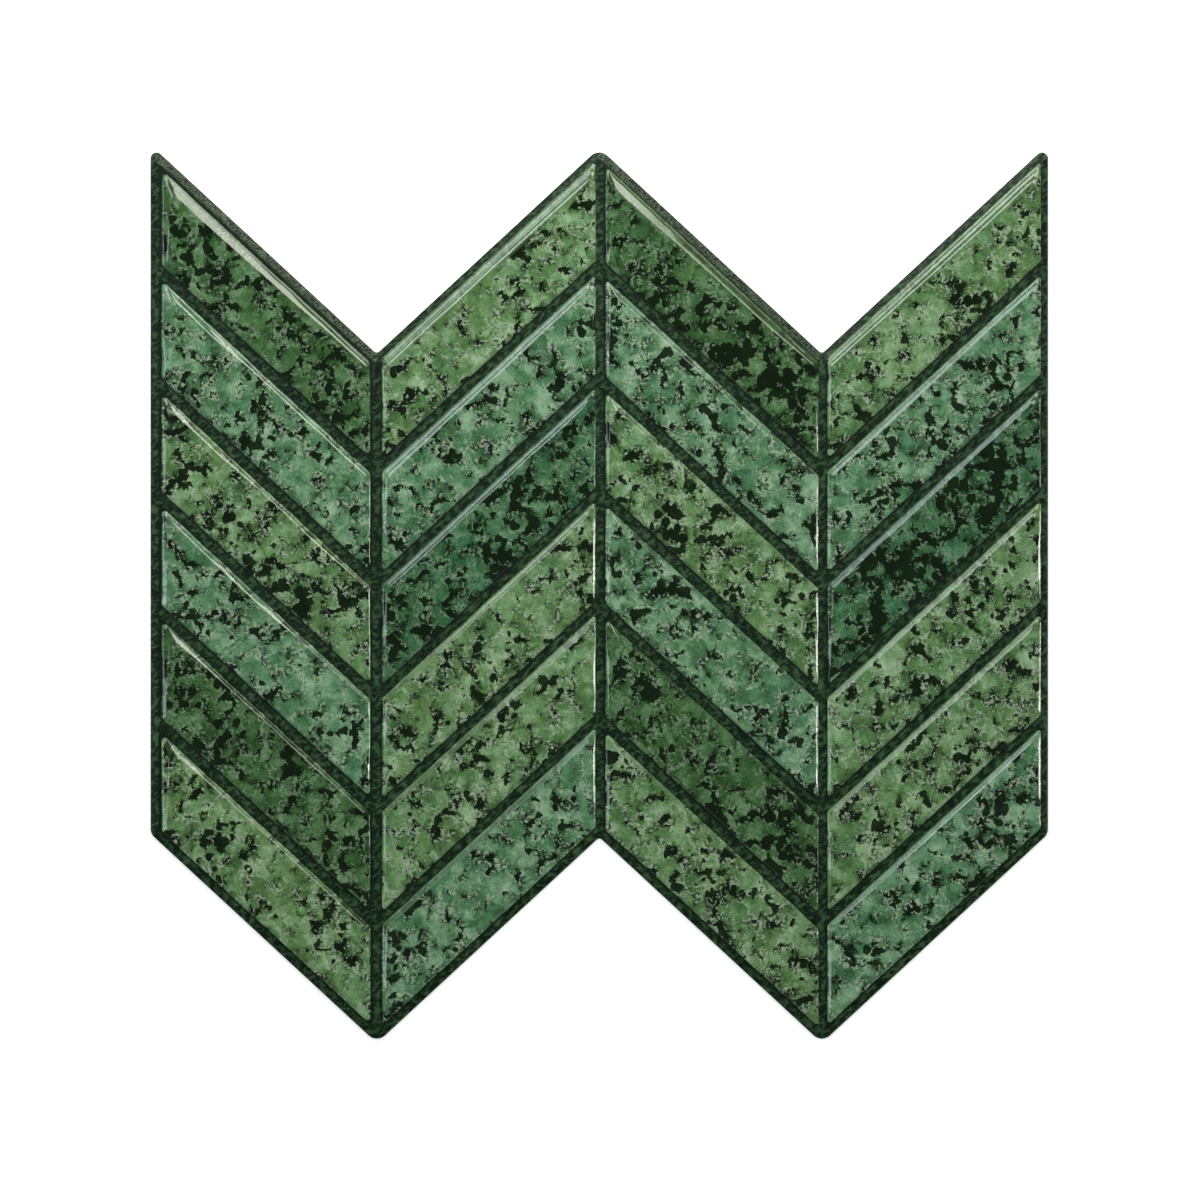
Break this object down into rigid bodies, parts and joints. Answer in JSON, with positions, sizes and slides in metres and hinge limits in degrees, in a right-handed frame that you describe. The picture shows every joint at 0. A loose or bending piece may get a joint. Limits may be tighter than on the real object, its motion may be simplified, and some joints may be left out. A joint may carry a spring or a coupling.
{
  "type": "peel and stick backsplash tile",
  "caption": "Chevron peel and stick wall tile: rows of slanted, domed gel pads in a green stone print on a dark grained vinyl sheet with zigzag ends and a paper release liner.",
  "frame": {"origin": "under the middle of the tile, on the back of its release liner", "axes": "+X across the columns of pads, +Y up the tile as it hangs on a wall, +Z out of its face"},
  "size_m": [0.3, 0.2962, 0.0025],
  "materials": {
    "grained_vinyl": "embossed grain, satin",
    "liner_paper": "plain siliconed release paper",
    "gel_olive": "clear gel dome over a mottled stone print, high gloss",
    "gel_sea": "clear gel dome over a mottled stone print, high gloss",
    "gel_forest": "clear gel dome over a mottled stone print, high gloss",
    "gel_emerald": "clear gel dome over a mottled stone print, high gloss"
  },
  "bodies": {
    "root": {"base_sheet": "grained_vinyl", "release_liner": "liner_paper", "gel_pad_row1_col1": "gel_forest", "gel_pad_row1_col2": "gel_olive", "gel_pad_row1_col3": "gel_forest", "gel_pad_row1_col4": "gel_olive", "gel_pad_row2_col1": "gel_sea", "gel_pad_row2_col2": "gel_sea", "gel_pad_row2_col3": "gel_sea", "gel_pad_row2_col4": "gel_sea", "gel_pad_row3_col1": "gel_olive", "gel_pad_row3_col2": "gel_emerald", "gel_pad_row3_col3": "gel_olive", "gel_pad_row3_col4": "gel_emerald", "gel_pad_row4_col1": "gel_sea", "gel_pad_row4_col2": "gel_olive", "gel_pad_row4_col3": "gel_sea", "gel_pad_row4_col4": "gel_olive", "gel_pad_row5_col1": "gel_forest", "gel_pad_row5_col2": "gel_olive", "gel_pad_row5_col3": "gel_forest", "gel_pad_row5_col4": "gel_olive", "gel_pad_row6_col1": "gel_olive", "gel_pad_row6_col2": "gel_sea", "gel_pad_row6_col3": "gel_olive", "gel_pad_row6_col4": "gel_sea"}
  },
  "joints": []
}
